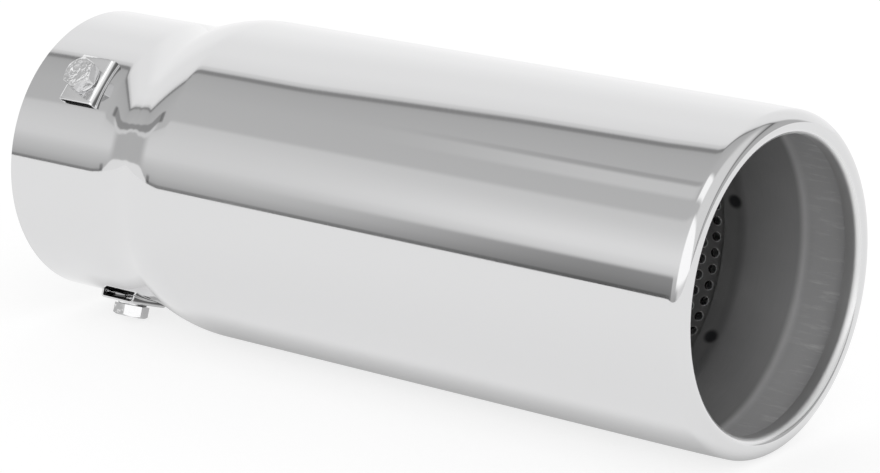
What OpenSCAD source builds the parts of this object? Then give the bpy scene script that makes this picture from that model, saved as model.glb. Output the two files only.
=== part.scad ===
// Bolt-on exhaust tip, lying along +X: the inlet collar is at the origin and the mouth looks along +X.
// +Z is up. A polished shell with a rolled rim holds a perforated core and the cone that joins the core
// to the mouth. Three folded clips on the collar carry the clamp bolts.

/* [Shell] */
// Overall length from the inlet edge to the nose of the rim
tip_length = 260; // [235:5:300]
// Outside diameter of the body
body_diameter = 101.6; // [99:0.2:108]
// Thickness of the shell's sheet
shell_wall = 0.9; // [0.8:0.1:1.1]
// Length of the S-shaped shoulder between collar and body
shoulder_length = 33; // [26:1:44]

/* [Collar] */
// Outside diameter of the tailpipe that slides in
tailpipe_diameter = 88.9; // [87:0.1:89.6]
// Radial clearance round the tailpipe
slip_gap = 0.2; // [0.15:0.05:0.35]
// Straight length of the collar
collar_length = 35; // [34:1:45]

/* [Rolled rim] */
// Radius of the outer bend, on the outside of the sheet
rim_outer_radius = 4.3; // [3.5:0.1:5]
// Radius of the inner bend, on the outside of the sheet
rim_inner_radius = 2.6; // [2:0.1:3.2]
// Length of the lip that returns into the mouth
rim_lip = 3; // [1.5:0.5:5]

/* [Perforated core] */
// Thickness of the perforated tube
core_wall = 1; // [0.8:0.1:1.2]
// Diameter of one hole
hole_diameter = 2.9; // [2:0.1:3.4]
// Spacing between hole centres
hole_pitch = 5.1; // [4.4:0.1:7]
// Rows of holes, counted back from the core's outlet end
hole_rows = 6; // [2:1:8]
// Distance from the core's end to the first row
first_row_setback = 3.8; // [2.5:0.1:8]

/* [Mouth cone] */
// Thickness of the cone's sheet
cone_wall = 0.8; // [0.6:0.1:1]
// Angle of the cone's side to the axis
cone_angle = 20; // [16:1:30]
// Radius of the cone's two bends, on the inside of the sheet
cone_bend_radius = 9; // [5:1:12]
// Length of the neck that sits inside the core
neck_length = 5; // [3:0.5:9]
// Length of the straight flange that lies inside the shell
flange_length = 15.7; // [10:0.1:20]
// Gap between the cone's flange edge and the rolled rim
flange_setback = 1.2; // [0.6:0.2:2]
// Diameter of one spot weld dimple on the neck
weld_diameter = 4.8; // [3:0.2:6]
// Depth of a spot weld dimple
weld_depth = 0.25; // [0.1:0.05:0.35]
// Number of spot welds round the neck
weld_count = 6; // [3:1:10]

/* [Clips] */
// Angle of the upper clip from the top, towards the near side
upper_clip_angle = 46; // [35:1:55]
// Angle of the lower clip from the top, towards the near side
lower_clip_angle = 161; // [150:1:170]
// Angle of the clip on the far side
far_clip_angle = 283; // [270:1:290]
// Width of a clip round the collar
clip_width = 16.6; // [14:0.2:19]
// Length of a clip along the collar
clip_length = 14.2; // [13:0.2:17]
// Height of a clip above the collar
clip_height = 2; // [2:0.1:4]
// Thickness of a clip's sheet
clip_wall = 0.7; // [0.6:0.1:0.8]
// Distance from the inlet edge to a clip
clip_setback = 16.6; // [10:0.2:18]
// Radius of the clip's bend on the mouth side
clip_bend_radius = 1.9; // [1.4:0.1:1.9]
// Radius of the clip's turned down lip on the inlet side
clip_lip_radius = 1; // [0.8:0.1:1.3]

/* [Clamp bolts] */
// Thread diameter
bolt_diameter = 6; // [5:0.5:6.5]
// Width of the hexagon across flats
head_across_flats = 10; // [8:0.5:11]
// Turn of the hexagon about the bolt
head_turn = 11; // [0:1:59]
// Height of the head
head_height = 3.8; // [3:0.1:5]
// Diameter of the drawn boss round the threaded hole
boss_diameter = 9.4; // [8.6:0.2:12]
// Height of the boss above the clip
boss_height = 0.7; // [0.4:0.1:1.2]
// Radial clearance of the bolt in its thread
thread_gap = 0.05; // [0.03:0.01:0.1]
// Radial clearance of the bolt in the collar
bolt_hole_gap = 0.4; // [0.2:0.1:0.8]

/* [Hidden] */
$fn = 96;

// Gap that keeps touching curved faces of separate pieces apart
seat_gap = 0.1;
// Overshoot of every cutting shape
cut = 1;
// Short chords that make up each bend of a sheet
bend_steps = 12;

body_radius = body_diameter / 2;
collar_bore_radius = tailpipe_diameter / 2 + slip_gap;
collar_radius = collar_bore_radius + shell_wall;

// Two equal arcs, tangent to collar and body, make the shoulder
shoulder_rise = body_radius - collar_radius;
shoulder_arc_radius = (pow(shoulder_length, 2) + pow(shoulder_rise, 2)) / (4 * shoulder_rise);
shoulder_angle = 2 * atan(shoulder_rise / shoulder_length);

rim_nose_radius = body_radius - rim_outer_radius;
mouth_radius = rim_nose_radius - rim_inner_radius;

// The core is as wide as a tube that still passes through the collar and the body
core_outer_radius = min(collar_bore_radius, body_radius - shell_wall) - seat_gap;
core_bore_radius = core_outer_radius - core_wall;
core_start = collar_length + seat_gap;
holes_per_row = round(2 * PI * core_outer_radius / hole_pitch);
hole_step = 360 / holes_per_row;
row_spacing = hole_pitch * sin(60);
// Angle of one hole of the first row
hole_phase = 2.2;

// The cone's inner face runs from its neck, inside the core, to its flange, inside the shell
neck_radius = core_bore_radius - seat_gap - cone_wall;
flange_radius = body_radius - shell_wall - seat_gap - cone_wall;
cone_rise = flange_radius - neck_radius;
bend_radii = 2 * cone_bend_radius + cone_wall;
// A low cone is all bend, and then turns by less than its angle
cone_turn = acos(max(1 - cone_rise / bend_radii, cos(cone_angle)));
cone_side = (cone_rise - bend_radii * (1 - cos(cone_turn))) / sin(cone_turn);
cone_span = bend_radii * sin(cone_turn) + cone_side * cos(cone_turn);
// The core ends where the cone, held inside the rim, has its neck
flange_end = tip_length - rim_outer_radius - flange_setback;
core_end = flange_end - flange_length - cone_span;
neck_start = core_end - neck_length;
// Angle of one spot weld
weld_first_angle = 44;
weld_sphere_radius = (pow(weld_diameter / 2, 2) + pow(weld_depth, 2)) / (2 * weld_depth);

clip_foot_radius = collar_radius + seat_gap / 2;
clip_top = collar_radius + clip_height;
bolt_station = clip_setback + clip_length / 2 - (clip_bend_radius - clip_lip_radius) / 2;
boss_top = clip_top + boss_height;
bolt_tip = collar_bore_radius + seat_gap;
head_corner_radius = head_across_flats / 2 / cos(30);
// The chamfer leaves a round face on the head, a little smaller than the flats
head_face_radius = 0.48 * head_across_flats;
head_chamfer_angle = 30;

// Points of an arc from one angle to another. A first point of 1 leaves out the start.
function arc(centre, radius, from, to, first = 0) =
  [for (i = [first:bend_steps])
    let (angle = from + (to - from) * i / bend_steps) centre + radius * [cos(angle), sin(angle)]];

function reversed(points) = [for (i = [len(points) - 1:-1:0]) points[i]];

// One face of the shell's sheet, as distances along and from the axis. Depth is measured from the outer face.
function shell_face(depth) = concat(
  [[0, collar_radius - depth]],
  arc([collar_length, collar_radius + shoulder_arc_radius],
      shoulder_arc_radius + depth, -90, shoulder_angle - 90),
  arc([collar_length + shoulder_length, body_radius - shoulder_arc_radius],
      shoulder_arc_radius - depth, 90 + shoulder_angle, 90, 1),
  arc([tip_length - rim_outer_radius, rim_nose_radius], rim_outer_radius - depth, 90, 0),
  arc([tip_length - rim_inner_radius, rim_nose_radius], rim_inner_radius - depth, 0, -90, 1),
  [[tip_length - rim_inner_radius - rim_lip, mouth_radius + depth]]);

// One face of the cone's sheet. Height is measured from the inner face.
function cone_face(height) = concat(
  [[neck_start, neck_radius + height]],
  arc([core_end, neck_radius + cone_wall + cone_bend_radius],
      cone_bend_radius + cone_wall - height, -90, cone_turn - 90),
  arc([core_end + cone_span, flange_radius - cone_bend_radius],
      cone_bend_radius + height, 90 + cone_turn, 90),
  [[flange_end, flange_radius + height]]);

// One face of a clip's sheet, seen from its side and standing on the collar's axis
function clip_face(depth) = concat(
  [[depth, 0]],
  arc([clip_lip_radius, clip_top - clip_lip_radius], clip_lip_radius - depth, 180, 90),
  arc([clip_length - clip_bend_radius, clip_top - clip_bend_radius], clip_bend_radius - depth, 90, 0),
  [[clip_length - depth, 0]]);

// Turns a section, drawn as distance along the axis and distance from it, round the +X axis
module turned() {
  rotate([0, 90, 0]) rotate_extrude() rotate(90) mirror([0, 1]) children();
}

// Places a radial feature: its own +Z points away from the axis
module at_angle(angle, along) {
  translate([along, 0, 0]) rotate([angle, 0, 0]) children();
}

module shell() {
  color("gainsboro") difference() {
    turned() polygon(concat(shell_face(0), reversed(shell_face(shell_wall))));
    for (angle = [upper_clip_angle, lower_clip_angle, far_clip_angle])
      at_angle(angle, bolt_station)
        translate([0, 0, collar_bore_radius - cut])
          cylinder(h = shell_wall + 2 * cut, r = bolt_diameter / 2 + bolt_hole_gap);
  }
}

module perforated_core() {
  color("dimgray") difference() {
    turned() translate([core_start, core_bore_radius]) square([core_end - core_start, core_wall]);
    for (row = [0:hole_rows - 1], i = [0:holes_per_row - 1])
      at_angle((i + (row % 2) / 2) * hole_step + hole_phase, core_end - first_row_setback - row * row_spacing)
        translate([0, 0, core_bore_radius - cut]) cylinder(h = core_wall + 2 * cut, d = hole_diameter);
  }
}

module mouth_cone() {
  color("gray") difference() {
    turned() polygon(concat(cone_face(0), reversed(cone_face(cone_wall))));
    for (i = [0:weld_count - 1])
      at_angle(weld_first_angle + i * 360 / weld_count, neck_start + neck_length / 2)
        translate([0, 0, neck_radius + weld_depth - weld_sphere_radius]) sphere(r = weld_sphere_radius);
  }
}

module clip_block(depth, width) {
  rotate([90, 0, 0]) translate([0, 0, -width / 2]) linear_extrude(width) polygon(clip_face(depth));
}

module clip(angle) {
  color("silver") difference() {
    union() {
      at_angle(angle, clip_setback) clip_block(0, clip_width);
      at_angle(angle, bolt_station) translate([0, 0, clip_top - clip_wall / 2])
        cylinder(h = boss_height + clip_wall / 2, d = boss_diameter);
    }
    at_angle(angle, clip_setback) clip_block(clip_wall, clip_width + 2 * cut);
    translate([-cut, 0, 0]) rotate([0, 90, 0]) cylinder(h = tip_length, r = clip_foot_radius);
    at_angle(angle, bolt_station) cylinder(h = boss_top + cut, r = bolt_diameter / 2 + thread_gap);
  }
}

// Cap screw that runs through the clip and the collar until its tip bears on the tailpipe
module clamp_bolt(angle) {
  color("whitesmoke") at_angle(angle, bolt_station) {
    translate([0, 0, bolt_tip]) cylinder(h = boss_top - bolt_tip + head_height / 2, d = bolt_diameter);
    translate([0, 0, boss_top]) intersection() {
      rotate(head_turn) cylinder(h = head_height, r = head_corner_radius, $fn = 6);
      cylinder(h = head_height, r1 = head_face_radius + head_height / tan(head_chamfer_angle),
               r2 = head_face_radius);
    }
  }
}

shell();
perforated_core();
mouth_cone();
clip(upper_clip_angle);  // upper_clip
clip(lower_clip_angle);  // lower_clip
clip(far_clip_angle);  // far_clip
clamp_bolt(upper_clip_angle);  // upper_bolt
clamp_bolt(lower_clip_angle);  // lower_bolt
clamp_bolt(far_clip_angle);  // far_bolt
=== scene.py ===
"""Looks of the bolt-on exhaust tip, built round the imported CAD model.

Lengths are in millimetres while a piece is being made, and in metres once it is finished. The tip lies
along +X with its mouth at +X. Angles round it are in degrees, from straight up towards -Y.
"""

import math

import bmesh
import bpy
from mathutils import Matrix, Vector


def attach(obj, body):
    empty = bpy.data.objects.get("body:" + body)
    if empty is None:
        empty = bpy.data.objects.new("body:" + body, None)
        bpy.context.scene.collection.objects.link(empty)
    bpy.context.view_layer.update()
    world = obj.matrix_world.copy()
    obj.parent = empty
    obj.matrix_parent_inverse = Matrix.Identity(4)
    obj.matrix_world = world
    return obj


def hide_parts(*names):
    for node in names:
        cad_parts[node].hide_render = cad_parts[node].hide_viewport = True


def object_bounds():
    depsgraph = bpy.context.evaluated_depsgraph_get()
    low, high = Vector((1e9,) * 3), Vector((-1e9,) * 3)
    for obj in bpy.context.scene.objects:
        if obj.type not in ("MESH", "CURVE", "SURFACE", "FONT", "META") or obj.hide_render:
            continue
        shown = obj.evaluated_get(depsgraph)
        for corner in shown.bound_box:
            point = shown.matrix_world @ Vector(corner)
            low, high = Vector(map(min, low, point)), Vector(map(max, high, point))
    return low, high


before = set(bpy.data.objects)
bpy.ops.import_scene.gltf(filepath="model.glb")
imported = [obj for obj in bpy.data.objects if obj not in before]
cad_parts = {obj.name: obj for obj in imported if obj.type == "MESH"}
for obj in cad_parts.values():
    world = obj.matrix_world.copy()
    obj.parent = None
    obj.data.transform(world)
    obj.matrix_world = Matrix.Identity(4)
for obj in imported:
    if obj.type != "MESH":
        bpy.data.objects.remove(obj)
cad_low, cad_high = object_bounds()

# Sizes shared with the CAD source: shell
TIP_LENGTH = 260
BODY_RADIUS = 50.8
SHELL_WALL = 0.9
SHOULDER_LENGTH = 33
COLLAR_LENGTH = 35
COLLAR_BORE = 44.65
COLLAR_RADIUS = COLLAR_BORE + SHELL_WALL
RIM_OUTER = 4.3
RIM_INNER = 2.6
RIM_LIP = 3
# Gap between pieces that touch
SEAT_GAP = 0.1

# Perforated core
CORE_START = COLLAR_LENGTH + SEAT_GAP
CORE_RADIUS = COLLAR_BORE - SEAT_GAP
CORE_WALL = 1
HOLE_RADIUS = 1.45
HOLE_PITCH = 5.1
HOLES_PER_ROW = round(2 * math.pi * CORE_RADIUS / HOLE_PITCH)
ROW_SPACING = HOLE_PITCH * math.sin(math.radians(60))
FIRST_ROW_SETBACK = 3.8

# Mouth cone. The core ends where the cone, held inside the rim, has its neck.
CONE_WALL = 0.8
CONE_ANGLE = 20
CONE_BEND = 9
NECK_LENGTH = 5
NECK_RADIUS = CORE_RADIUS - CORE_WALL - SEAT_GAP - CONE_WALL
FLANGE_LENGTH = 15.7
FLANGE_RADIUS = BODY_RADIUS - SHELL_WALL - SEAT_GAP - CONE_WALL
FLANGE_END = TIP_LENGTH - RIM_OUTER - 1.2
CONE_TURN = math.radians(CONE_ANGLE)
CONE_RADII = 2 * CONE_BEND + CONE_WALL
CONE_RISE = FLANGE_RADIUS - NECK_RADIUS
CONE_SIDE = (CONE_RISE - CONE_RADII * (1 - math.cos(CONE_TURN))) / math.sin(CONE_TURN)
CREASE = FLANGE_END - FLANGE_LENGTH
CORE_END = CREASE - CONE_RADII * math.sin(CONE_TURN) - CONE_SIDE * math.cos(CONE_TURN)
NECK_START = CORE_END - NECK_LENGTH

# Clips, by their angle round the collar
CLIPS = {"upper": 46, "lower": 161, "far": 283}
CLIP_START = 16.6
CLIP_LENGTH = 14.2
CLIP_WIDTH = 16.6
CLIP_WALL = 0.7
CLIP_LIP = 1.0
CLIP_BEND = 1.9
CLIP_FOOT = COLLAR_RADIUS + SEAT_GAP / 2
CLIP_TOP = COLLAR_RADIUS + 2
BOSS_RADIUS = 4.7
BOSS_TOP = CLIP_TOP + 0.7

# Clamp bolts
BOLT_STATION = CLIP_START + CLIP_LENGTH / 2 - (CLIP_BEND - CLIP_LIP) / 2
BOLT_TIP = COLLAR_BORE + SEAT_GAP
BOLT_RADIUS = 3
THREAD_HOLE_RADIUS = BOLT_RADIUS + 0.05
SHELL_HOLE_RADIUS = BOLT_RADIUS + 0.4
HEAD_FLATS = 10
HEAD_HEIGHT = 3.8
HEAD_FACE = 0.48 * HEAD_FLATS
HEAD_CHAMFER = math.radians(30)

# Sizes that only the looks have. The eased cut edges of the sheets:
COLLAR_EASE = 0.12
LIP_EASE = 0.15
CONE_EASE = 0.1
CLIP_EASE = 0.13
EASE_SHARE = 0.16
# Rolling the rim draws the end of the body in a little
RIM_DRAW = 0.3
RIM_DRAW_LENGTH = 22
# Rings of the collar on both sides of the bolts
BOLT_BAND = (16.5, 33.5)
# Turn of the core about its axis
HOLE_PHASE = 0.5
# Spot welds, spaced by hand
WELD_ANGLES = (43, 104, 163, 225, 282.5, 344)
WELD_STATION = 217.3
WELD_RADIUS = 2.4
WELD_DEPTH = 0.25
# Marks of heat round the welds, dark up to the first radius and gone at the second
HEAT_DARK = 1.4
HEAT_END = 3.0
# Each bolt stands as the spanner left it
HEAD_TURNS = {"upper": 11, "lower": 42, "far": 11}
# Gap under a head
HEAD_LIFT = 0.03
HEAD_CORNER_EASE = 0.16
# Depth and radius of the dished face
HEAD_DISH = ((0.02, 4.1), (0.12, 3.7), (0.26, 3.2), (0.34, 2.6), (0.36, 0))
THREAD_PITCH = 1.0
THREAD_DEPTH = 0.33
THREAD_RUN_IN = 0.6

# Cutters round a bolt reach from well inside the collar to well outside the shell or the clip
CUTTER_START = 40
SHELL_CUTTER_END = 50
CLIP_CUTTER_END = 60

SHELL_TURN_STEPS = 288
CONE_TURN_STEPS = 480
SMALL_TURN_STEPS = 96
THREAD_TURN_STEPS = 48
# Past these angles an edge is shaded as a sharp one
SHARP = 35
CLIP_SHARP = 38
BOLT_SHARP = 28


def arc(cx, cy, radius, start, end, steps, first=0):
    """Points of an arc, angles in degrees. A first of 1 leaves out the starting point."""
    angles = [math.radians(start + (end - start) * i / steps) for i in range(first, steps + 1)]
    return [(cx + radius * math.cos(a), cy + radius * math.sin(a)) for a in angles]


def straight(x0, r0, x1, r1, steps, first=0):
    """Points of a straight line. A first of 1 leaves out the starting point."""
    return [(x0 + (x1 - x0) * i / steps, r0 + (r1 - r0) * i / steps) for i in range(first, steps + 1)]


def new_points(grown):
    """The vertices among what an extrusion made."""
    return [part for part in grown["geom"] if isinstance(part, bmesh.types.BMVert)]


def shade(mesh, sharp):
    mesh.shade_smooth()
    mesh.set_sharp_from_angle(angle=math.radians(sharp))


def finish_mesh(name, bm):
    """Turns a bmesh in millimetres into a smooth shaded object at the origin, in metres."""
    bmesh.ops.remove_doubles(bm, verts=bm.verts, dist=1e-4)
    bmesh.ops.recalc_face_normals(bm, faces=bm.faces)
    bmesh.ops.scale(bm, vec=(0.001, 0.001, 0.001), verts=bm.verts)
    mesh = bpy.data.meshes.new(name)
    bm.to_mesh(mesh)
    bm.free()
    shade(mesh, SHARP)
    obj = bpy.data.objects.new(name, mesh)
    bpy.context.scene.collection.objects.link(obj)
    return obj


def spin_section(bm, section, steps, axis=(1, 0, 0), closed=True):
    """Spins a section of (along, radius) points round +X or +Z. An open section ends on the axis."""
    if axis == (1, 0, 0):
        verts = [bm.verts.new((along, 0, radius)) for along, radius in section]
    else:
        verts = [bm.verts.new((radius, 0, along)) for along, radius in section]
    ends = verts[1:] + verts[:1] if closed else verts[1:]
    edges = [bm.edges.new(pair) for pair in zip(verts, ends)]
    bmesh.ops.spin(bm, geom=verts + edges, cent=(0, 0, 0), axis=axis,
                   angle=2 * math.pi, steps=steps, use_merge=True)


def boolean(obj, cutter, operation):
    """Applies a boolean with another object, which is then removed."""
    mod = obj.modifiers.new("cut", "BOOLEAN")
    mod.object = cutter
    mod.operation = operation
    mod.solver = "EXACT"
    graph = bpy.context.evaluated_depsgraph_get()
    mesh = bpy.data.meshes.new_from_object(obj.evaluated_get(graph))
    obj.modifiers.clear()
    old = obj.data
    obj.data = mesh
    bpy.data.meshes.remove(old)
    bpy.data.objects.remove(cutter)


def place_radially(bm, angle):
    """Stands the local +Z of a mesh out from the axis at the bolts' station."""
    turn = Matrix.Rotation(math.radians(angle), 3, "X")
    bmesh.ops.rotate(bm, cent=(0, 0, 0), matrix=turn, verts=bm.verts)
    bmesh.ops.translate(bm, vec=(BOLT_STATION, 0, 0), verts=bm.verts)


def bolt_cutter(name, angle, radius, end, steps):
    """A plain cylinder round a bolt's axis, up to a distance from the tip's axis."""
    bm = bmesh.new()
    bmesh.ops.create_cone(bm, cap_ends=True, segments=steps, radius1=radius, radius2=radius,
                          depth=end - CUTTER_START)
    bmesh.ops.translate(bm, vec=(0, 0, (CUTTER_START + end) / 2), verts=bm.verts)
    place_radially(bm, angle)
    return finish_mesh(name, bm)


def bevel(bm, edges, offset, segments):
    bmesh.ops.bevel(bm, geom=edges, offset=offset, offset_type="OFFSET", segments=segments, profile=0.5,
                    affect="EDGES", clamp_overlap=True, material=-1)


def sheet_section(face, wall, start_ease, end_ease):
    """Closed section of a sheet, with both cut edges eased. face gives one face of it at a depth."""
    outer, inner = face(0), face(wall)
    (x0, r0), (x1, r1) = outer[0], inner[0]
    start = [(x1 - start_ease, r1 + (r0 - r1) * EASE_SHARE),
             (x0 - start_ease, r0 - (r0 - r1) * EASE_SHARE)]
    (x0, r0), (x1, r1) = outer[-1], inner[-1]
    end = [(x0 + end_ease, r0 - (r0 - r1) * EASE_SHARE),
           (x1 + end_ease, r1 + (r0 - r1) * EASE_SHARE)]
    return outer + end + inner[::-1] + start


# Shell


def shell_face(depth):
    """One face of the shell's sheet at a depth below its outside."""
    rise = BODY_RADIUS - COLLAR_RADIUS
    bend = (SHOULDER_LENGTH ** 2 + rise ** 2) / (4 * rise)
    turn = math.degrees(2 * math.atan(rise / SHOULDER_LENGTH))
    shoulder_end = COLLAR_LENGTH + SHOULDER_LENGTH
    collar = COLLAR_RADIUS - depth
    body = BODY_RADIUS - depth
    nose = BODY_RADIUS - RIM_OUTER
    draw_start = TIP_LENGTH - RIM_DRAW_LENGTH
    roll_start = TIP_LENGTH - RIM_OUTER
    lip_start = TIP_LENGTH - RIM_INNER
    face = (
        straight(COLLAR_EASE, collar, BOLT_BAND[0], collar, 2)
        + [(BOLT_BAND[1], collar)]
        + arc(COLLAR_LENGTH, COLLAR_RADIUS + bend, bend + depth, -90, turn - 90, 20)
        + arc(shoulder_end, BODY_RADIUS - bend, bend - depth, 90 + turn, 90, 20, 1)
        + straight(shoulder_end, body, draw_start, body, 10, 1)
        + straight(draw_start, body, roll_start, body, 12, 1)[:-1]
        + arc(roll_start, nose, RIM_OUTER - depth, 90, 0, 16)
        + arc(lip_start, nose, RIM_INNER - depth, 0, -90, 14, 1)
        + [(lip_start - RIM_LIP + LIP_EASE, nose - RIM_INNER + depth)]
    )
    return [(x, r - RIM_DRAW * max(0, 1 - (TIP_LENGTH - x) / RIM_DRAW_LENGTH) ** 2) for x, r in face]


def make_shell():
    bm = bmesh.new()
    spin_section(bm, sheet_section(shell_face, SHELL_WALL, COLLAR_EASE, -LIP_EASE), SHELL_TURN_STEPS)
    shell = finish_mesh("polished_shell", bm)
    for side, angle in CLIPS.items():
        hole = bolt_cutter("hole_" + side, angle, SHELL_HOLE_RADIUS, SHELL_CUTTER_END, 48)
        boolean(shell, hole, "DIFFERENCE")
    shade(shell.data, SHARP)
    return shell


# Mouth cone


def cone_face(height):
    """One face of the cone's sheet at a height above its inside."""
    neck_bend = arc(CORE_END, NECK_RADIUS + CONE_WALL + CONE_BEND, CONE_BEND + CONE_WALL - height,
                    -90, CONE_ANGLE - 90, 8)
    flange_bend = arc(CREASE, FLANGE_RADIUS - CONE_BEND, CONE_BEND + height, 90 + CONE_ANGLE, 90, 10)
    neck = NECK_RADIUS + height
    return (
        straight(NECK_START + CONE_EASE, neck, CORE_END, neck, 10)[:-1]
        + neck_bend
        + straight(*neck_bend[-1], *flange_bend[0], 3, 1)[:-1]
        + flange_bend
        + [(FLANGE_END - CONE_EASE, FLANGE_RADIUS + height)]
    )


def sink_welds(bm):
    """Presses the spot welds into the inside of the neck."""
    for vert in bm.verts:
        x, y, z = vert.co
        radius = math.hypot(y, z)
        if x > WELD_STATION + WELD_RADIUS or radius > NECK_RADIUS + CONE_WALL / 2:
            continue
        angle = math.degrees(math.atan2(-y, z))
        for weld in WELD_ANGLES:
            turn = (angle - weld + 180) % 360 - 180
            away = math.hypot(x - WELD_STATION, math.radians(turn) * NECK_RADIUS) / WELD_RADIUS
            if away < 1:
                sink = WELD_DEPTH * (1 - away ** 2) ** 2
                vert.co.y *= (radius + sink) / radius
                vert.co.z *= (radius + sink) / radius


def make_mouth_cone():
    bm = bmesh.new()
    spin_section(bm, sheet_section(cone_face, CONE_WALL, CONE_EASE, CONE_EASE), CONE_TURN_STEPS)
    sink_welds(bm)
    return finish_mesh("satin_mouth_cone", bm)


# Perforated core


FIRST_ROW_EDGE = CORE_END - FIRST_ROW_SETBACK + ROW_SPACING / 2
CORE_ROWS = int((FIRST_ROW_EDGE - CORE_START) // ROW_SPACING)
LAST_ROW_EDGE = FIRST_ROW_EDGE - CORE_ROWS * ROW_SPACING
HALF_COLUMN = math.pi * CORE_RADIUS / HOLES_PER_ROW


def brick_sheet():
    """A flat sheet of six-cornered cells, two half columns wide and staggered like bricks."""
    bm = bmesh.new()
    half_columns = 2 * HOLES_PER_ROW + 1
    bmesh.ops.create_grid(bm, x_segments=CORE_ROWS, y_segments=half_columns, size=0.5)
    for vert in bm.verts:
        vert.co.x = LAST_ROW_EDGE + (vert.co.x + 0.5) * CORE_ROWS * ROW_SPACING
        vert.co.y = (vert.co.y + 0.5) * half_columns * HALF_COLUMN
    # The ends of the rows are staggered too, so they close on each other when the sheet is rolled
    spare = []
    for face in bm.faces:
        middle = face.calc_center_median()
        even = int((FIRST_ROW_EDGE - middle.x) / ROW_SPACING) % 2 == 0
        if int(middle.y / HALF_COLUMN) == (2 * HOLES_PER_ROW if even else 0):
            spare.append(face)
    bmesh.ops.delete(bm, geom=spare, context="FACES")
    within = []
    for edge in bm.edges:
        a, b = edge.verts[0].co, edge.verts[1].co
        if abs(a.y - b.y) < 1e-3 and len(edge.link_faces) == 2:
            even = round((FIRST_ROW_EDGE - max(a.x, b.x)) / ROW_SPACING) % 2 == 0
            if round(a.y / HALF_COLUMN) % 2 == (1 if even else 0):
                within.append(edge)
    bmesh.ops.dissolve_edges(bm, edges=within, use_verts=False)
    return bm


def punch_holes(bm):
    """Makes a round hole in the middle of each six-cornered cell."""
    cells = [face for face in bm.faces if len(face.verts) == 6]
    # The inset only makes corners, which are then moved onto the hole's circle
    bmesh.ops.inset_individual(bm, faces=cells, thickness=0.6, use_even_offset=True)
    rims = {edge for cell in cells for edge in cell.edges}
    bmesh.ops.subdivide_edges(bm, edges=list(rims), cuts=1)
    twelfth = math.pi / 6
    for cell in cells:
        middle = cell.calc_center_bounds()
        for vert in cell.verts:
            away = vert.co - middle
            turn = round(math.atan2(away.y, away.x) / twelfth) * twelfth
            vert.co = middle + HOLE_RADIUS * Vector((math.cos(turn), math.sin(turn), 0))
    bmesh.ops.delete(bm, geom=cells, context="FACES_ONLY")


def make_core():
    bm = brick_sheet()
    punch_holes(bm)
    # Plain ends beyond the rows
    for end, edge_x in ((CORE_END, FIRST_ROW_EDGE), (CORE_START, LAST_ROW_EDGE)):
        border = [edge for edge in bm.edges
                  if edge.is_boundary and all(abs(vert.co.x - edge_x) < 1e-3 for vert in edge.verts)]
        for vert in new_points(bmesh.ops.extrude_edge_only(bm, edges=border)):
            vert.co.x = end
    # Rolled into a tube
    phase = math.radians(HOLE_PHASE) - math.pi / HOLES_PER_ROW
    for vert in bm.verts:
        angle = vert.co.y / CORE_RADIUS + phase
        vert.co = Vector((vert.co.x, -CORE_RADIUS * math.sin(angle), CORE_RADIUS * math.cos(angle)))
    bmesh.ops.remove_doubles(bm, verts=bm.verts, dist=1e-3)
    bmesh.ops.recalc_face_normals(bm, faces=bm.faces)
    outside = next(iter(bm.faces))
    middle = outside.calc_center_median()
    if outside.normal.dot(Vector((0, middle.y, middle.z))) < 0:
        bmesh.ops.reverse_faces(bm, faces=bm.faces)
    bmesh.ops.solidify(bm, geom=list(bm.faces), thickness=CORE_WALL)
    return finish_mesh("perforated_tube", bm)


# Clips


def clip_outline(depth):
    """One face of a clip's folded sheet, from foot to foot. The feet are cut to the collar later."""
    return (
        [(depth, CLIP_FOOT)]
        + arc(CLIP_LIP, CLIP_TOP - CLIP_LIP, CLIP_LIP - depth, 180, 90, 6)
        + arc(CLIP_LENGTH - CLIP_BEND, CLIP_TOP - CLIP_BEND, CLIP_BEND - depth, 90, 0, 10)
        + [(CLIP_LENGTH - depth, CLIP_FOOT)]
    )


def folded_channel(name, angle):
    """A channel of folded sheet, open at both sides, whose two feet follow the collar."""
    bm = bmesh.new()
    half = CLIP_WIDTH / 2
    outer = [bm.verts.new((x, -half, z)) for x, z in clip_outline(0)]
    inner = [bm.verts.new((x, -half, z)) for x, z in clip_outline(CLIP_WALL)]
    for i in range(len(outer) - 1):
        bm.faces.new((outer[i], outer[i + 1], inner[i + 1], inner[i]))
    grown = bmesh.ops.extrude_face_region(bm, geom=list(bm.faces))
    bmesh.ops.translate(bm, vec=(0, CLIP_WIDTH, 0), verts=new_points(grown))
    across = [edge for edge in bm.edges if abs(edge.verts[0].co.y - edge.verts[1].co.y) > 1]
    bmesh.ops.subdivide_edges(bm, edges=across, cuts=15, use_grid_fill=True)
    bmesh.ops.recalc_face_normals(bm, faces=bm.faces)
    above_foot = CLIP_FOOT + 0.01
    rim = [edge for edge in bm.edges if edge.calc_face_angle(0) > math.radians(60)
           and all(abs(abs(vert.co.y) - half) < 1e-3 for vert in edge.verts)
           and any(vert.co.z > above_foot for vert in edge.verts)]
    bevel(bm, rim, CLIP_EASE, 2)
    for vert in bm.verts:
        if vert.co.z < above_foot:
            vert.co.z = math.sqrt(CLIP_FOOT ** 2 - vert.co.y ** 2)
    bmesh.ops.translate(bm, vec=(CLIP_START - BOLT_STATION, 0, 0), verts=bm.verts)
    place_radially(bm, angle)
    return finish_mesh(name, bm)


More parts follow.
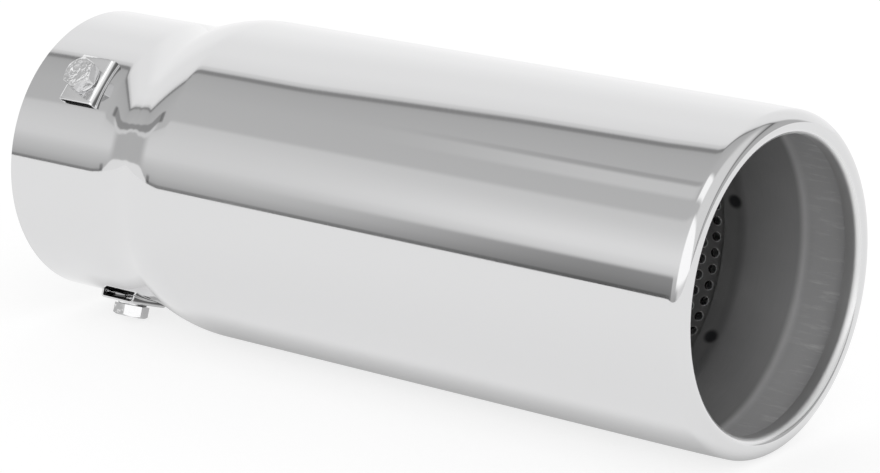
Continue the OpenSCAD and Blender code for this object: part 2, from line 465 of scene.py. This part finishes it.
def drawn_boss(angle):
    """The boss round the tapped hole, with a fillet at its foot and an eased top."""
    skirt, fillet, fillet_centre, ease = 0.5, 0.28, 0.34, 0.22
    bore, base = 2.0, CLIP_TOP - CLIP_WALL / 2
    section = [(base, bore), (base, BOSS_RADIUS + skirt), (CLIP_TOP - 0.02, BOSS_RADIUS + skirt)]
    section += [(CLIP_TOP + fillet - z, BOSS_RADIUS + fillet_centre - r)
                for r, z in arc(0, 0, fillet, 90, 15, 5)]
    section += [(BOSS_TOP - ease + z, BOSS_RADIUS - ease + r) for r, z in arc(0, 0, ease, 10, 90, 5)]
    section += [(BOSS_TOP, bore)]
    bm = bmesh.new()
    spin_section(bm, section, SMALL_TURN_STEPS, axis=(0, 0, 1))
    place_radially(bm, angle)
    return finish_mesh("boss", bm)


def make_clip(side, angle):
    clip = folded_channel(side + "_folded_clip", angle)
    boolean(clip, drawn_boss(angle), "UNION")
    tapped_hole = bolt_cutter("tap", angle, THREAD_HOLE_RADIUS, CLIP_CUTTER_END, 64)
    boolean(clip, tapped_hole, "DIFFERENCE")
    shade(clip.data, CLIP_SHARP)
    return clip


# Clamp bolts


def hexagon(name, side, angle):
    corner = HEAD_FLATS / 2 / math.cos(math.radians(30))
    turn = Matrix.Rotation(math.radians(HEAD_TURNS[side]), 3, "Z")
    bm = bmesh.new()
    bmesh.ops.create_circle(bm, cap_ends=True, segments=6, radius=corner)
    bmesh.ops.rotate(bm, cent=(0, 0, 0), matrix=turn, verts=bm.verts)
    bmesh.ops.translate(bm, vec=(0, 0, BOSS_TOP + HEAD_LIFT), verts=bm.verts)
    grown = bmesh.ops.extrude_face_region(bm, geom=list(bm.faces))
    bmesh.ops.translate(bm, vec=(0, 0, HEAD_HEIGHT - HEAD_LIFT), verts=new_points(grown))
    bmesh.ops.recalc_face_normals(bm, faces=bm.faces)
    corners = [edge for edge in bm.edges if abs(edge.verts[0].co.z - edge.verts[1].co.z) > 1]
    bevel(bm, corners, HEAD_CORNER_EASE, 3)
    place_radially(bm, angle)
    return finish_mesh(name, bm)


def head_form(angle):
    """What a hexagon is cut to: chamfered corners round a dished face."""
    top = BOSS_TOP + HEAD_HEIGHT
    below, outside = BOSS_TOP - 1, 7.5
    section = [(below, 0), (below, outside), (top - (outside - HEAD_FACE) * math.tan(HEAD_CHAMFER), outside)]
    section += [(top - 0.05, HEAD_FACE + 0.08), (top - 0.01, HEAD_FACE - 0.08), (top, HEAD_FACE - 0.25)]
    section += [(top - depth, radius) for depth, radius in HEAD_DISH]
    bm = bmesh.new()
    spin_section(bm, section, SMALL_TURN_STEPS, axis=(0, 0, 1), closed=False)
    place_radially(bm, angle)
    return finish_mesh("chamfer", bm)


def threaded_shank(angle):
    root = BOLT_RADIUS - THREAD_DEPTH
    low, high = BOLT_TIP, BOSS_TOP + 1
    levels = 48
    start = low + 0.15
    section = [(low, 0), (low, root - 0.25)]
    section += [(start + (high - start) * i / levels, root) for i in range(levels + 1)]
    section += [(high, 0)]
    bm = bmesh.new()
    spin_section(bm, section, THREAD_TURN_STEPS, axis=(0, 0, 1), closed=False)
    for vert in bm.verts:
        radius = math.hypot(vert.co.x, vert.co.y)
        if radius > root - 0.1:
            height = vert.co.z - low
            wave = (height / THREAD_PITCH - math.atan2(vert.co.y, vert.co.x) / (2 * math.pi)) % 1
            crest = min(1, 1.25 * (1 - abs(2 * wave - 1))) * min(1, height / THREAD_RUN_IN)
            vert.co.x *= (radius + THREAD_DEPTH * crest) / radius
            vert.co.y *= (radius + THREAD_DEPTH * crest) / radius
    place_radially(bm, angle)
    return finish_mesh("thread", bm)


def make_bolt(side, angle):
    bolt = hexagon(side + "_clamp_bolt", side, angle)
    boolean(bolt, head_form(angle), "INTERSECT")
    boolean(bolt, threaded_shank(angle), "UNION")
    shade(bolt.data, BOLT_SHARP)
    return bolt


# Node trees


class NodeTree:
    """Short hand for building a node tree."""

    def __init__(self, tree):
        self.tree = tree

    def new(self, kind, **values):
        node = self.tree.nodes.new(kind)
        for key, value in values.items():
            setattr(node, key, value)
        return node

    def link(self, source, target):
        self.tree.links.new(source, target)

    def feed(self, socket, value):
        """Links a socket to another one, or sets it to a constant."""
        if isinstance(value, bpy.types.NodeSocket):
            self.link(value, socket)
        else:
            socket.default_value = value

    def feed_all(self, node, values):
        for socket, value in zip(node.inputs, values):
            self.feed(socket, value)

    def math(self, operation, *values):
        node = self.new("ShaderNodeMath", operation=operation)
        self.feed_all(node, values)
        return node.outputs[0]

    def vector_math(self, operation, *values):
        node = self.new("ShaderNodeVectorMath", operation=operation)
        self.feed_all(node, values)
        return node.outputs["Value" if operation in ("DOT_PRODUCT", "DISTANCE") else "Vector"]

    def combine(self, x, y, z):
        node = self.new("ShaderNodeCombineXYZ")
        self.feed_all(node, (x, y, z))
        return node.outputs[0]

    def split(self, vector):
        node = self.new("ShaderNodeSeparateXYZ")
        self.link(vector, node.inputs[0])
        return node.outputs

    def remap(self, value, low, high, to_low, to_high, smooth=False):
        node = self.new("ShaderNodeMapRange", interpolation_type="SMOOTHSTEP" if smooth else "LINEAR")
        ends = {"From Min": low, "From Max": high, "To Min": to_low, "To Max": to_high}
        for key, end in ends.items():
            node.inputs[key].default_value = end
        self.link(value, node.inputs["Value"])
        return node.outputs[0]

    def step(self, value, start, end):
        """Changes smoothly from 0 at the start to 1 at the end, which may lie below the start."""
        return self.remap(value, start, end, 0, 1, True)

    def mix_shader(self, factor, a, b):
        """The shader a, with b in its place where the factor is 1."""
        node = self.new("ShaderNodeMixShader")
        self.feed_all(node, (factor, a, b))
        return node.outputs[0]


# Materials


POLISHED = (0.72, 0.72, 0.725)
UNPOLISHED = (0.8, 0.8, 0.8)
# Painted shade inside the mouth, lightest towards it
NECK_PAINTED_SHADE = (0.24, 0.24, 0.242)
BEND_PAINTED_SHADE = (0.185, 0.185, 0.187)
SIDE_PAINTED_SHADE = (0.26, 0.26, 0.262)
STAIN_TONE = (0.36, 0.355, 0.35)
# A painted highlight on the crease, and painted light on the flange
CREASE_PAINTED_HIGHLIGHT = (0.76, 0.76, 0.765)
FLANGE_PAINTED_LIGHT = (0.7, 0.7, 0.705)
RUBBED = (0.98, 0.98, 0.98)
HEAT_MARK = (0.035, 0.035, 0.038)
CORE_TONE = (0.2, 0.2, 0.205)
CORE_STAIN = (0.32, 0.315, 0.31)
# Painted glints round the holes, and painted shade on their walls
HOLE_PAINTED_GLINT = (0.95, 0.95, 0.95)
HOLE_WALL_PAINTED_SHADE = (0.03, 0.03, 0.03)
CLIP_TONE = (0.88, 0.88, 0.885)
# Painted shade on the clip's hidden side, and on its fold and lip
CLIP_UNDERSIDE_PAINTED_SHADE = (0.09, 0.09, 0.09)
CLIP_PAINTED_SHADE = (0.1, 0.1, 0.1)
BOLT_TONE = (0.76, 0.76, 0.765)


class Metal(NodeTree):
    """A metal and what its nodes start from."""

    def __init__(self, name, color, roughness, metallic=1.0):
        self.material = bpy.data.materials.new(name)
        self.material.use_nodes = True
        super().__init__(self.material.node_tree)
        self.shader = self.tree.nodes["Principled BSDF"]
        self.shader.inputs["Metallic"].default_value = metallic
        self.shader.inputs["Base Color"].default_value = (*color, 1)
        self.shader.inputs["Roughness"].default_value = roughness
        place = self.new("ShaderNodeTexCoord")
        self.coordinates = place.outputs["Object"]
        self.normal = place.outputs["Normal"]

    def noise(self, vector, scale, detail, roughness):
        node = self.new("ShaderNodeTexNoise")
        self.link(vector, node.inputs["Vector"])
        node.inputs["Scale"].default_value = scale
        node.inputs["Detail"].default_value = detail
        node.inputs["Roughness"].default_value = roughness
        return node.outputs["Fac"]

    def length(self, a, b):
        return self.math("SQRT", self.math("ADD", self.math("MULTIPLY", a, a), self.math("MULTIPLY", b, b)))

    def round_coordinates(self):
        """Distance along the axis, distance from it and angle round it in radians."""
        x, y, z = self.split(self.coordinates)
        return x, self.length(y, z), self.math("ARCTAN2", self.math("MULTIPLY", y, -1), z)

    def facing_out(self):
        """1 where a face looks straight out from the axis, and -1 where it looks at the axis."""
        out = self.vector_math("NORMALIZE", self.vector_math("MULTIPLY", self.coordinates, (0, 1, 1)))
        return self.vector_math("DOT_PRODUCT", out, self.normal)

    def bump(self, height, strength, distance, normal=None):
        node = self.new("ShaderNodeBump")
        node.inputs["Strength"].default_value = strength
        node.inputs["Distance"].default_value = distance
        self.link(height, node.inputs["Height"])
        if normal:
            self.link(normal, node.inputs["Normal"])
        return node.outputs[0]

    def blend(self, factor, a, b):
        """The colour a, with b over it where the factor is 1."""
        node = self.new("ShaderNodeMix", data_type="RGBA")
        self.link(factor, node.inputs[0])
        for socket, value in ((node.inputs[6], a), (node.inputs[7], b)):
            self.feed(socket, value if isinstance(value, bpy.types.NodeSocket) else (*value, 1))
        return node.outputs[2]

    def set(self, key, value):
        self.link(value, self.shader.inputs[key])


def turning_lines(m, density, reach):
    """Fine lines that run round the axis, as a polishing wheel or a brush leaves them."""
    x, radius, angle = m.round_coordinates()
    along = m.math("MULTIPLY", m.math("ADD", x, radius), density)
    wide = m.math("MULTIPLY", m.math("SINE", angle), reach)
    high = m.math("MULTIPLY", m.math("COSINE", angle), reach)
    return m.noise(m.combine(along, wide, high), scale=1, detail=4, roughness=0.6)


def polished_steel():
    m = Metal("polished_steel", POLISHED, 0.04)
    lines = turning_lines(m, 2600, 3.0)
    smudge = m.noise(m.coordinates, scale=26, detail=4, roughness=0.55)
    polish = m.math("ADD", m.remap(smudge, 0.35, 0.75, 0.03, 0.065), m.remap(lines, 0.5, 0.8, 0, 0.03))
    # The sheet is a little wavy
    wave = m.noise(m.coordinates, scale=14, detail=1, roughness=0.4)
    waved = m.bump(wave, strength=0.12, distance=0.0002)
    m.set("Normal", m.bump(lines, strength=0.05, distance=0.00002, normal=waved))
    # The buffing wheel doesn't reach the inside
    inside = m.step(m.facing_out(), -0.35, -0.95)
    m.set("Roughness", m.math("ADD", polish, m.math("MULTIPLY", inside, 0.42)))
    m.set("Base Color", m.blend(inside, POLISHED, UNPOLISHED))
    return m.material


def heat_marks(m):
    """Dark where the spot welds were made."""
    marks = None
    radius = NECK_RADIUS / 1000
    for weld in WELD_ANGLES:
        turn = math.radians(weld)
        place = (WELD_STATION / 1000, -radius * math.sin(turn), radius * math.cos(turn))
        away = m.vector_math("DISTANCE", m.coordinates, place)
        mark = m.step(away, HEAT_END / 1000, HEAT_DARK / 1000)
        marks = m.math("MAXIMUM", marks, mark) if marks else mark
    return marks


def satin_steel():
    m = Metal("satin_steel", (0.3, 0.3, 0.3), 0.5, metallic=0.45)
    lines = turning_lines(m, 1800, 6.0)
    stains = m.noise(m.coordinates, scale=45, detail=5, roughness=0.6)
    x, radius, angle = m.round_coordinates()

    def between(start, end, smooth=True):
        """0 up to a start and 1 from an end, both in millimetres along the tip."""
        return m.remap(x, start / 1000, end / 1000, 0, 1, smooth)

    # Painted shade deep in the mouth: the neck, darker still at its bend, and the cone's side, which grows
    # lighter towards the mouth
    tone_and_painted_light = m.blend(between(CORE_END - 1.5, CORE_END + 1.5), NECK_PAINTED_SHADE, BEND_PAINTED_SHADE)
    tone_and_painted_light = m.blend(between(CORE_END + 1.5, CREASE - 2.3, False), tone_and_painted_light, SIDE_PAINTED_SHADE)
    stained = m.math("MULTIPLY", m.remap(stains, 0.3, 0.75, 0, 1), 0.25)
    tone_and_painted_light = m.blend(stained, tone_and_painted_light, STAIN_TONE)
    # A painted highlight along the crease, and painted light on the flange beyond it, near the mouth
    tone_and_painted_light = m.blend(between(CREASE - 3.3, CREASE - 0.8), tone_and_painted_light, CREASE_PAINTED_HIGHLIGHT)
    tone_and_painted_light = m.blend(between(CREASE - 0.3, CREASE + 1.2), tone_and_painted_light, FLANGE_PAINTED_LIGHT)
    # Rubbed strokes, mostly along the axis, show on the flange
    drawn = m.combine(m.math("MULTIPLY", x, 90), m.math("MULTIPLY", angle, 26), radius)
    strokes = m.remap(m.noise(drawn, scale=1, detail=5, roughness=0.65), 0.52, 0.72, 0, 1)
    strokes = m.math("MULTIPLY", strokes, between(CREASE - 2.8, CREASE + 7.2))
    tone_and_painted_light = m.blend(m.math("MULTIPLY", strokes, 0.75), tone_and_painted_light, RUBBED)
    m.set("Base Color", m.blend(heat_marks(m), tone_and_painted_light, HEAT_MARK))
    m.set("Roughness", m.math("ADD", m.remap(lines, 0.3, 0.7, 0.42, 0.54),
                              m.remap(stains, 0.3, 0.7, 0, 0.08)))
    m.set("Normal", m.bump(lines, strength=0.25, distance=0.00004))
    return m.material


def place_in_cell(m):
    """Place across and along the tube from the middle of the nearest hole, in hole radii."""
    x, _, angle = m.round_coordinates()
    row = m.math("DIVIDE", m.math("SUBTRACT", FIRST_ROW_EDGE / 1000, x), ROW_SPACING / 1000)
    stagger = m.math("MULTIPLY", m.math("MODULO", m.math("FLOOR", row), 2), 0.5)
    column = m.math("MULTIPLY", m.math("SUBTRACT", angle, math.radians(HOLE_PHASE)),
                    HOLES_PER_ROW / (2 * math.pi))
    column = m.math("ADD", m.math("ADD", column, stagger), 0.5)
    across = m.math("MULTIPLY", m.math("SUBTRACT", m.math("FRACT", column), 0.5),
                    2 * HALF_COLUMN / HOLE_RADIUS)
    along = m.math("MULTIPLY", m.math("SUBTRACT", 0.5, m.math("FRACT", row)), ROW_SPACING / HOLE_RADIUS)
    return across, along


def core_steel():
    m = Metal("core_steel", (0.25, 0.25, 0.25), 0.4, metallic=0.5)
    stains = m.noise(m.coordinates, scale=60, detail=5, roughness=0.6)
    grain = m.noise(m.coordinates, scale=900, detail=3, roughness=0.6)
    across, along = place_in_cell(m)
    # A painted glint round each hole, brighter on the side that faces the mouth
    painted_glint = m.math("MULTIPLY", m.step(m.length(across, along), 1.22, 1.1),
                  m.remap(along, -0.5, 0.7, 0.1, 1, True))
    # The walls of the holes are painted dark as shade
    wall = m.step(m.math("ABSOLUTE", m.facing_out()), 0.8, 0.5)
    tone_and_painted_light = m.blend(m.remap(stains, 0.3, 0.75, 0, 1), CORE_TONE, CORE_STAIN)
    tone_and_painted_light = m.blend(painted_glint, tone_and_painted_light, HOLE_PAINTED_GLINT)
    m.set("Base Color", m.blend(wall, tone_and_painted_light, HOLE_WALL_PAINTED_SHADE))
    m.set("Roughness", m.remap(stains, 0.3, 0.7, 0.35, 0.5))
    m.set("Normal", m.bump(grain, strength=0.15, distance=0.00005))
    return m.material


def clip_steel():
    m = Metal("clip_steel", CLIP_TONE, 0.1)
    grain = m.noise(m.coordinates, scale=1400, detail=3, roughness=0.6)
    dull = m.noise(m.coordinates, scale=160, detail=4, roughness=0.6)
    _, radius, _ = m.round_coordinates()
    towards_mouth = m.split(m.normal)[0]
    # Painted shade on the fold's outer face down to its foot, and on the lip's face on the inlet side
    foot = m.remap(radius, (CLIP_FOOT + 0.35) / 1000, (CLIP_FOOT + 0.5) / 1000, 0, 1)
    fold_painted_shade = m.math("MULTIPLY", m.remap(towards_mouth, 0.72, 0.93, 0, 0.9, True), foot)
    lip_painted_shade = m.remap(towards_mouth, -0.35, -0.55, 0, 0.85, True)
    tone_and_painted_light = m.blend(lip_painted_shade, m.blend(fold_painted_shade, CLIP_TONE, CLIP_PAINTED_SHADE), CLIP_PAINTED_SHADE)
    # The hidden side is painted dark as shade, and is rougher as it was never polished
    hidden = m.step(m.facing_out(), -0.2, -0.6)
    m.set("Base Color", m.blend(hidden, tone_and_painted_light, CLIP_UNDERSIDE_PAINTED_SHADE))
    m.set("Roughness", m.math("ADD", m.remap(dull, 0.3, 0.7, 0.05, 0.12), m.math("MULTIPLY", hidden, 0.4)))
    uneven = m.bump(dull, strength=0.3, distance=0.0002)
    m.set("Normal", m.bump(grain, strength=0.1, distance=0.00003, normal=uneven))
    return m.material


def bolt_steel():
    m = Metal("bolt_steel", BOLT_TONE, 0.08)
    grain = m.noise(m.coordinates, scale=1100, detail=3, roughness=0.6)
    # Dents, mostly on the face of the head
    dents = m.noise(m.coordinates, scale=400, detail=2, roughness=0.5)
    dents = m.math("MULTIPLY", dents, m.remap(m.facing_out(), 0.75, 0.95, 0.12, 1, True))
    m.set("Roughness", m.remap(grain, 0.3, 0.7, 0.04, 0.12))
    dented = m.bump(dents, strength=1, distance=0.0009)
    m.set("Normal", m.bump(grain, strength=0.1, distance=0.00003, normal=dented))
    return m.material


# Floor


FLOOR_HALF = 30
# The floor ends a short way behind the camera, and the steel mirrors its edge as a thin dark line
FLOOR_FRONT = 1.6
# Reach of the dark shade where the tip nears the floor, as the steel mirrors it
CONTACT_REACH = 0.012


def make_floor():
    bm = bmesh.new()
    bmesh.ops.create_grid(bm, x_segments=8, y_segments=8, size=FLOOR_HALF)
    bmesh.ops.translate(bm, vec=(0, FLOOR_HALF - FLOOR_FRONT, cad_low.z), verts=bm.verts)
    mesh = bpy.data.meshes.new("floor")
    bm.to_mesh(mesh)
    bm.free()
    floor = bpy.data.objects.new("floor", mesh)
    bpy.context.scene.collection.objects.link(floor)
    mesh.materials.append(floor_white())


def floor_white():
    material = bpy.data.materials.new("floor_white")
    material.use_nodes = True
    material.node_tree.nodes.clear()
    m = NodeTree(material.node_tree)

    def paint(color, glow):
        """A plain colour that also glows. Gives the shader and the glow's colour socket."""
        plain = m.new("ShaderNodeBsdfDiffuse")
        plain.inputs["Color"].default_value = (color, color, color, 1)
        shine = m.new("ShaderNodeEmission")
        shine.inputs["Strength"].default_value = glow
        total = m.new("ShaderNodeAddShader")
        m.feed_all(total, (plain.outputs[0], shine.outputs[0]))
        return total.outputs[0], shine.inputs["Color"]

    # What lights the tip, what the steel mirrors, and what the camera sees, which keeps a faint shadow
    lighting, _ = paint(0.78, 0.0)
    mirrored, mirrored_glow = paint(0.25, 0.8)
    seen, _ = paint(0.34, 0.74)
    near = m.new("ShaderNodeAmbientOcclusion", samples=8)
    near.inputs["Distance"].default_value = CONTACT_REACH
    near.inputs["Color"].default_value = (1, 1, 1, 1)
    m.link(m.remap(near.outputs["AO"], 0, 0.9, 0.4, 1), mirrored_glow)
    path = m.new("ShaderNodeLightPath").outputs
    unseen = m.mix_shader(path["Is Glossy Ray"], lighting, mirrored)
    surface = m.mix_shader(path["Is Camera Ray"], unseen, seen)
    m.link(surface, m.new("ShaderNodeOutputMaterial").inputs["Surface"])
    return material


# Studio


# Brightness by a direction's angle round the tip: the back, the overhead panel up to its dark front edge,
# and the backdrop down to the floor
BRIGHTNESS = (
    (-100, 1.06), (-60, 1.06), (-40, 1.0), (-25, 1.0), (-14, 0.96), (-11, 0.93), (-9.5, 0.8), (-7.5, 0.76),
    (-5.5, 0.3), (-3.5, 0.28), (-1.5, 0.5), (2, 0.53), (20, 0.58), (41, 0.6), (43.5, 0.74), (55, 0.8),
    (65, 0.83), (70, 0.82), (77, 0.7), (84, 0.6), (89, 0.49), (92, 0.42), (100, 0.42),
)
# How far the panel's front edge lies back, in degrees, by a direction's x. It runs askew to the tip.
SLANT = (
    (-1, -4.2), (-0.633, -4.2), (-0.607, 0), (-0.579, 3.8), (-0.54, 6), (-0.4, 11), (0.08, 23), (0.25, 31),
    (0.47, 54), (1, 54),
)
# The same behind the collar, as the shoulder's hollow mirrors it. There the panel reaches forward.
SLANT_BEHIND = (
    (-1, -2), (-0.97, -3), (-0.95, -6), (-0.94, -13), (-0.92, -20), (-0.9, -28), (-0.865, -24), (-0.82, -19),
    (-0.77, -14), (-0.72, -9), (-0.69, 0), (1, 0),
)
# Behind the collar, the angle of a dark rail and the angle where the floor's near end begins, by x
RAIL = ((-1, 24), (-0.97, 29), (-0.94, 40), (-0.89, 45), (-0.86, 44.5), (-0.81, 38.5), (-0.77, 37), (1, 37))
NEAR_END = (
    (-1, 86), (-0.97, 84.5), (-0.93, 81.5), (-0.89, 81), (-0.865, 82.5), (-0.83, 87), (-0.79, 91),
    (-0.74, 94), (1, 94),
)


class Studio(NodeTree):
    """The world's nodes, which paint a studio by a direction's x and its angle round the tip."""

    def __init__(self, tree):
        super().__init__(tree)
        self.x, y, z = self.split(self.new("ShaderNodeTexCoord").outputs["Generated"])
        turn = self.math("ARCTAN2", self.math("MULTIPLY", y, -1), z)
        self.angle = self.math("MULTIPLY", turn, 180 / math.pi)

    def band(self, value, start, full, full_end, end):
        """1 between full and full_end, fading to 0 at the start and the end."""
        return self.product(self.step(value, start, full), self.step(value, end, full_end))

    def product(self, *values):
        total = values[0]
        for value in values[1:]:
            total = self.math("MULTIPLY", total, value)
        return total

    def lookup(self, value, table):
        """Straight lines between the pairs of a table."""
        (first, _), (last, _) = table[0], table[-1]
        levels = [level for _, level in table]
        low, high = min(levels), max(levels)
        node = self.new("ShaderNodeFloatCurve")
        curve = node.mapping.curves[0]
        for at, level in table[1:-1]:
            curve.points.new((at - first) / (last - first), (level - low) / (high - low))
        for end in (0, -1):
            at, level = table[end]
            curve.points[end].location = ((at - first) / (last - first), (level - low) / (high - low))
        for point in curve.points:
            point.handle_type = "VECTOR"
        node.mapping.update()
        share = self.math("DIVIDE", self.math("SUBTRACT", value, first), last - first)
        self.link(share, node.inputs["Value"])
        return self.math("ADD", self.math("MULTIPLY", node.outputs[0], high - low), low)

    def dim(self, level, *share):
        """Takes a share of the level away."""
        return self.math("MULTIPLY", level, self.math("SUBTRACT", 1, self.product(*share)))

    def cover(self, level, target, *share):
        """Puts a new brightness over the level."""
        return self.math("ADD", level, self.product(*share, self.math("SUBTRACT", target, level)))


def backdrop(s):
    """The overhead panel and the backdrop below it, down to a low dark stand."""
    turned = s.math("ADD", s.angle, s.product(s.lookup(s.x, SLANT), s.step(s.angle, 50, -10)))
    turned = s.math("ADD", turned, s.product(s.lookup(s.x, SLANT_BEHIND), s.step(s.angle, 62, 32)))
    level = s.lookup(turned, BRIGHTNESS)
    # Lighter to the right in its lower half
    lighter = s.product(s.step(s.x, -0.65, -0.56), s.band(s.angle, 48, 68, 75, 79), 0.14)
    level = s.math("MULTIPLY", level, s.math("ADD", 1, lighter))
    level = s.dim(level, s.band(s.x, -0.65, -0.545, -0.35, -0.2), s.step(s.angle, 76.5, 79.5), 0.5)
    # The dark line at the floor's front edge
    return s.dim(level, s.band(s.x, -0.83, -0.78, -0.5, -0.4), s.step(s.angle, 89.2, 90.4), 0.4)


def behind_collar(s, level):
    """A dark rail with a light edge, a grey wall below it, the floor's near end and a dark post."""
    below = s.math("SUBTRACT", s.angle, s.lookup(s.x, RAIL))
    level = s.dim(level, s.step(s.x, -0.76, -0.81), s.band(below, -5.5, -3, 3, 4.5), 0.42)
    level = s.cover(level, 0.55, s.step(s.x, -0.83, -0.9), s.step(below, 7.5, 11))
    level = s.cover(level, 0.78, s.step(s.x, -0.79, -0.83), s.band(below, 4, 5.5, 8, 9.5))
    level = s.cover(level, 0.95, s.step(s.math("SUBTRACT", s.angle, s.lookup(s.x, NEAR_END)), -1, 1))
    heights = s.math("ADD", s.band(s.angle, 32, 34, 41, 43), s.step(s.angle, 84, 87))
    return s.dim(level, s.band(s.x, -0.805, -0.79, -0.775, -0.76), heights, 0.5)


def near_mouth(s, level):
    """A narrow lamp with a dark edge, seen as a wedge near the mouth."""
    wedge = s.band(s.x, -0.62, -0.55, -0.5, -0.4)
    level = s.math("ADD", level, s.product(wedge, s.band(s.angle, 17, 19, 25, 29), 0.13))
    return s.math("SUBTRACT", level, s.product(wedge, s.band(s.angle, 13, 15, 16, 18), 0.12))


def beyond_mouth(s, level):
    """A light wall with a bright panel at the front, a lamp and a dark stretch at the back."""
    level = s.cover(level, 0.85, s.step(s.x, 0.3, 0.6), s.step(s.angle, -55, -40))
    level = s.cover(level, 1.3, s.step(s.x, 0.18, 0.3), s.band(s.angle, 36, 42, 80, 88))
    level = s.cover(level, 1.25, s.band(s.x, -0.3, -0.15, 0.35, 0.5), s.band(s.angle, 9, 14, 26, 32))
    return s.dim(level, s.step(s.x, 0.4, 0.48), s.step(s.angle, -50, -60), 0.45)


def make_studio():
    """Lights and is mirrored as painted, while the camera sees plain white."""
    world = bpy.data.worlds.new("studio")
    bpy.context.scene.world = world
    world.use_nodes = True
    world.node_tree.nodes.clear()
    s = Studio(world.node_tree)
    level = beyond_mouth(s, near_mouth(s, behind_collar(s, backdrop(s))))
    light = s.new("ShaderNodeBackground")
    white = s.new("ShaderNodeBackground")
    s.feed_all(light, ((1, 1, 1, 1), level))
    s.feed_all(white, ((1, 1, 1, 1), 1))
    sees = s.new("ShaderNodeLightPath").outputs["Is Camera Ray"]
    surface = s.mix_shader(sees, light.outputs[0], white.outputs[0])
    s.link(surface, s.new("ShaderNodeOutputWorld").inputs["Surface"])


# Camera, as fitted to the photograph


CAMERA_PLACE = (0.72658, -0.75171, 0.26294)
CAMERA_AIM = (-0.59336, 0.75785, -0.2713)
CAMERA_LENS = 133.2
CAMERA_SENSOR = 36
CAMERA_REACH = 100


def make_camera():
    data = bpy.data.cameras.new("camera")
    data.lens = CAMERA_LENS
    data.sensor_width = CAMERA_SENSOR
    data.clip_end = CAMERA_REACH
    camera = bpy.data.objects.new("camera", data)
    bpy.context.scene.collection.objects.link(camera)
    camera.location = CAMERA_PLACE
    camera.rotation_euler = Vector(CAMERA_AIM).to_track_quat("-Z", "Y").to_euler()
    bpy.context.scene.camera = camera


# All pieces


def dress(piece, material, node):
    """Gives a piece its material and puts it in the place of a CAD node."""
    piece.data.materials.clear()
    piece.data.materials.append(material)
    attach(piece, "root")
    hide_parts(node)


satin = satin_steel()
folded = clip_steel()
bright = bolt_steel()
dress(make_shell(), polished_steel(), "shell")
dress(make_mouth_cone(), satin, "mouth_cone")
dress(make_core(), core_steel(), "perforated_core")
for side, angle in CLIPS.items():
    dress(make_clip(side, angle), folded, side + "_clip")
    dress(make_bolt(side, angle), bright, side + "_bolt")

make_floor()
make_studio()
make_camera()
bpy.context.scene.view_settings.view_transform = "Standard"
